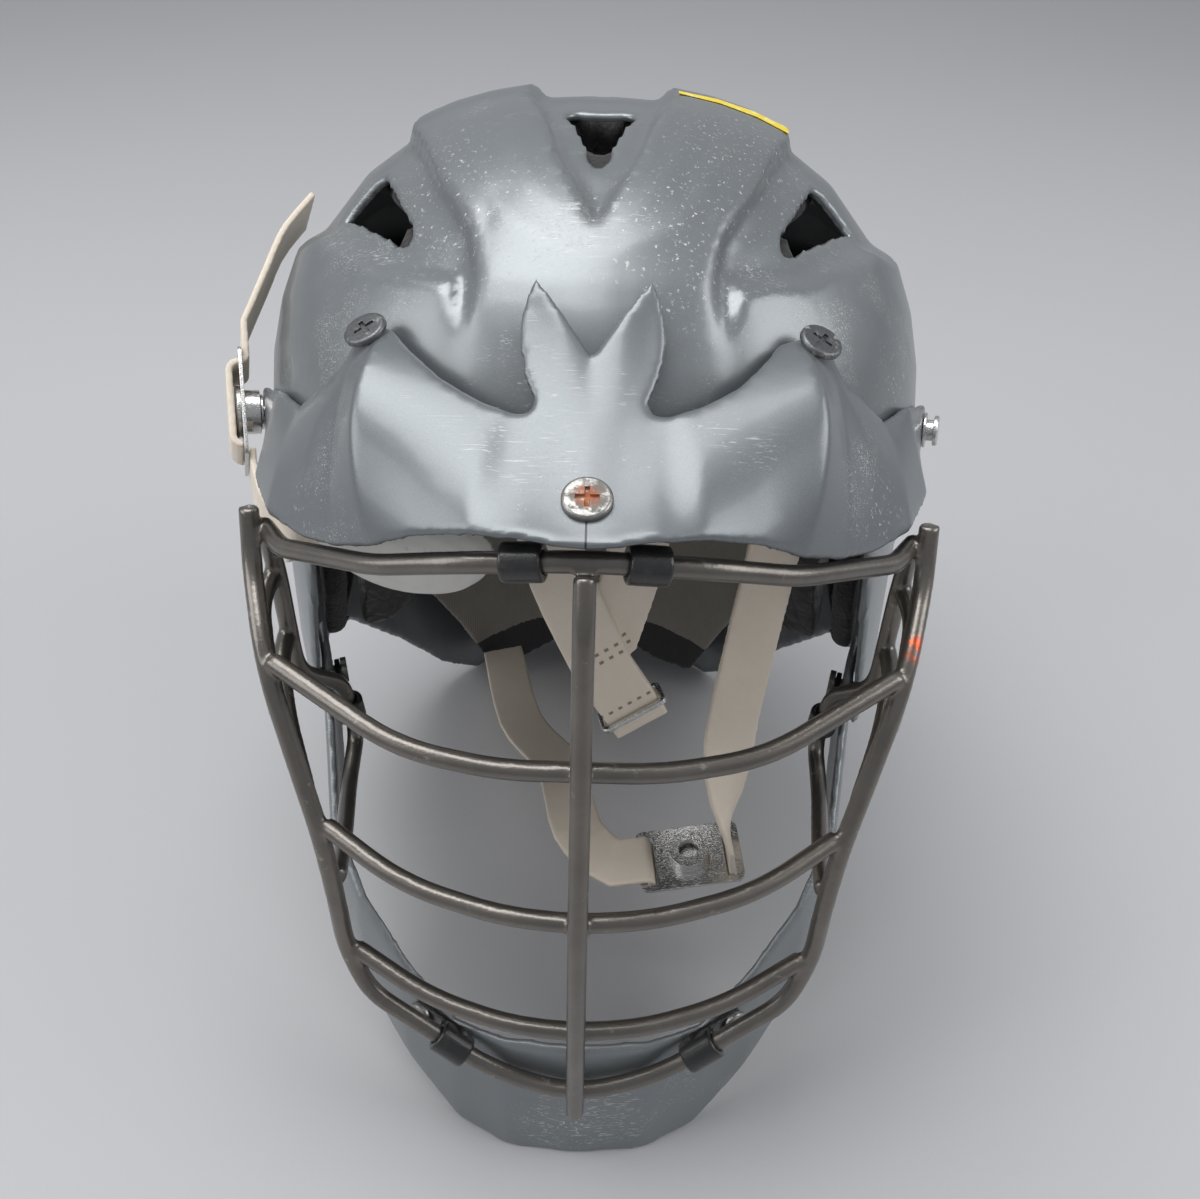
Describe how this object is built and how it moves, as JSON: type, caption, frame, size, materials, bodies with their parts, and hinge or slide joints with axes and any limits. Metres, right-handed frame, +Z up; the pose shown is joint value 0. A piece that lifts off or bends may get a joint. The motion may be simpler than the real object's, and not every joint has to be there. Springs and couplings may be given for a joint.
{
  "type": "lacrosse helmet",
  "caption": "Lacrosse helmet with a vented shell, visor, wire face mask, chin guard, padding and a chin strap with snap buckles.",
  "frame": {"origin": "on the ground below the middle of the standing helmet", "axes": "+Z up, -Y towards the front of the face mask, +X to the wearer's left"},
  "size_m": [0.2422, 0.3326, 0.3053],
  "materials": {
    "shell_silver": "satin silver-grey paint on moulded plastic, scuffed",
    "visor_silver": "satin silver-grey paint on moulded plastic, with small white scuffs",
    "guard_silver": "satin silver-grey paint on moulded plastic",
    "mask_wire": "dark brownish lacquered steel wire, glossy",
    "clip_black": "glossy black moulded clip",
    "rusty_screw": "zinc-plated, rusted in its recess",
    "screw_steel": "dull zinc",
    "stud_chrome": "tarnished chrome",
    "buckle_chrome": "chrome-plated pressed steel, lightly scratched",
    "foam_black": "matt black closed-cell foam",
    "cushion_black": "soft black leathery skin, wrinkled",
    "nape_fabric": "tan-grey lining cloth with black trim",
    "webbing_cream": "smooth cream webbing with stitching",
    "cup_white": "white moulded plastic",
    "label_yellow": "worn yellow sticker, bare"
  },
  "bodies": {
    "helmet": {"shell": "shell_silver", "visor": "visor_silver", "chin_guard": "guard_silver", "mask_frame_bar": "mask_wire", "mask_top_bar": "mask_wire", "mask_upper_bar": "mask_wire", "mask_middle_bar": "mask_wire", "mask_lower_bar": "mask_wire", "mask_centre_bar": "mask_wire", "mask_rear_bar_left": "mask_wire", "mask_rear_bar_right": "mask_wire", "mask_loop_bars_left": "mask_wire", "mask_loop_bars_right": "mask_wire", "brow_bridge": "clip_black", "brow_clip_left": "clip_black", "brow_clip_right": "clip_black", "chin_clip_left": "clip_black", "chin_clip_right": "clip_black", "jaw_clip_left": "clip_black", "jaw_clip_right": "clip_black", "visor_middle_screw": "rusty_screw", "visor_middle_nut": "screw_steel", "temple_screws": "screw_steel", "temple_nuts": "screw_steel", "jaw_screws": "screw_steel", "jaw_nuts": "screw_steel", "chin_screws": "screw_steel", "chin_nuts": "screw_steel", "front_stud_left": "stud_chrome", "front_stud_right": "stud_chrome", "front_stud_washers": "screw_steel", "rear_stud_left": "stud_chrome", "rear_stud_right": "stud_chrome", "rear_stud_washers": "screw_steel", "crown_liner": "foam_black", "brow_pad": "foam_black", "ear_foam_left": "foam_black", "ear_foam_right": "foam_black", "ear_cushion_left": "cushion_black", "ear_cushion_right": "cushion_black", "nape_pad": "foam_black", "nape_panel": "nape_fabric", "chin_strap_left": "webbing_cream", "hanging_strap": "webbing_cream", "cup_strap_right": "webbing_cream", "buckle_plate_left": "buckle_chrome", "snap_socket_left": "buckle_chrome", "snap_cap_left": "buckle_chrome", "chin_cup": "cup_white", "crown_label": "label_yellow"},
    "snapped_buckle": {"buckle_plate_right": "buckle_chrome", "snap_socket_right": "buckle_chrome", "snap_cap_right": "buckle_chrome", "buckle_strap_right": "webbing_cream"},
    "slider": {"strap_slider": "buckle_chrome"}
  },
  "joints": [
    {"name": "snapped_buckle_swivel", "type": "hinge", "parent": "helmet", "child": "snapped_buckle", "pos_m": [-0.11431, -0.00681, 0.21402], "axis": [-0.9502, -0.2841, 0.1278], "range_deg": [-10, 10]},
    {"name": "slider_run", "type": "slide", "parent": "helmet", "child": "slider", "axis": [-0.4311, -0.1016, 0.8966], "range_m": [-0.003, 0.012]}
  ]
}
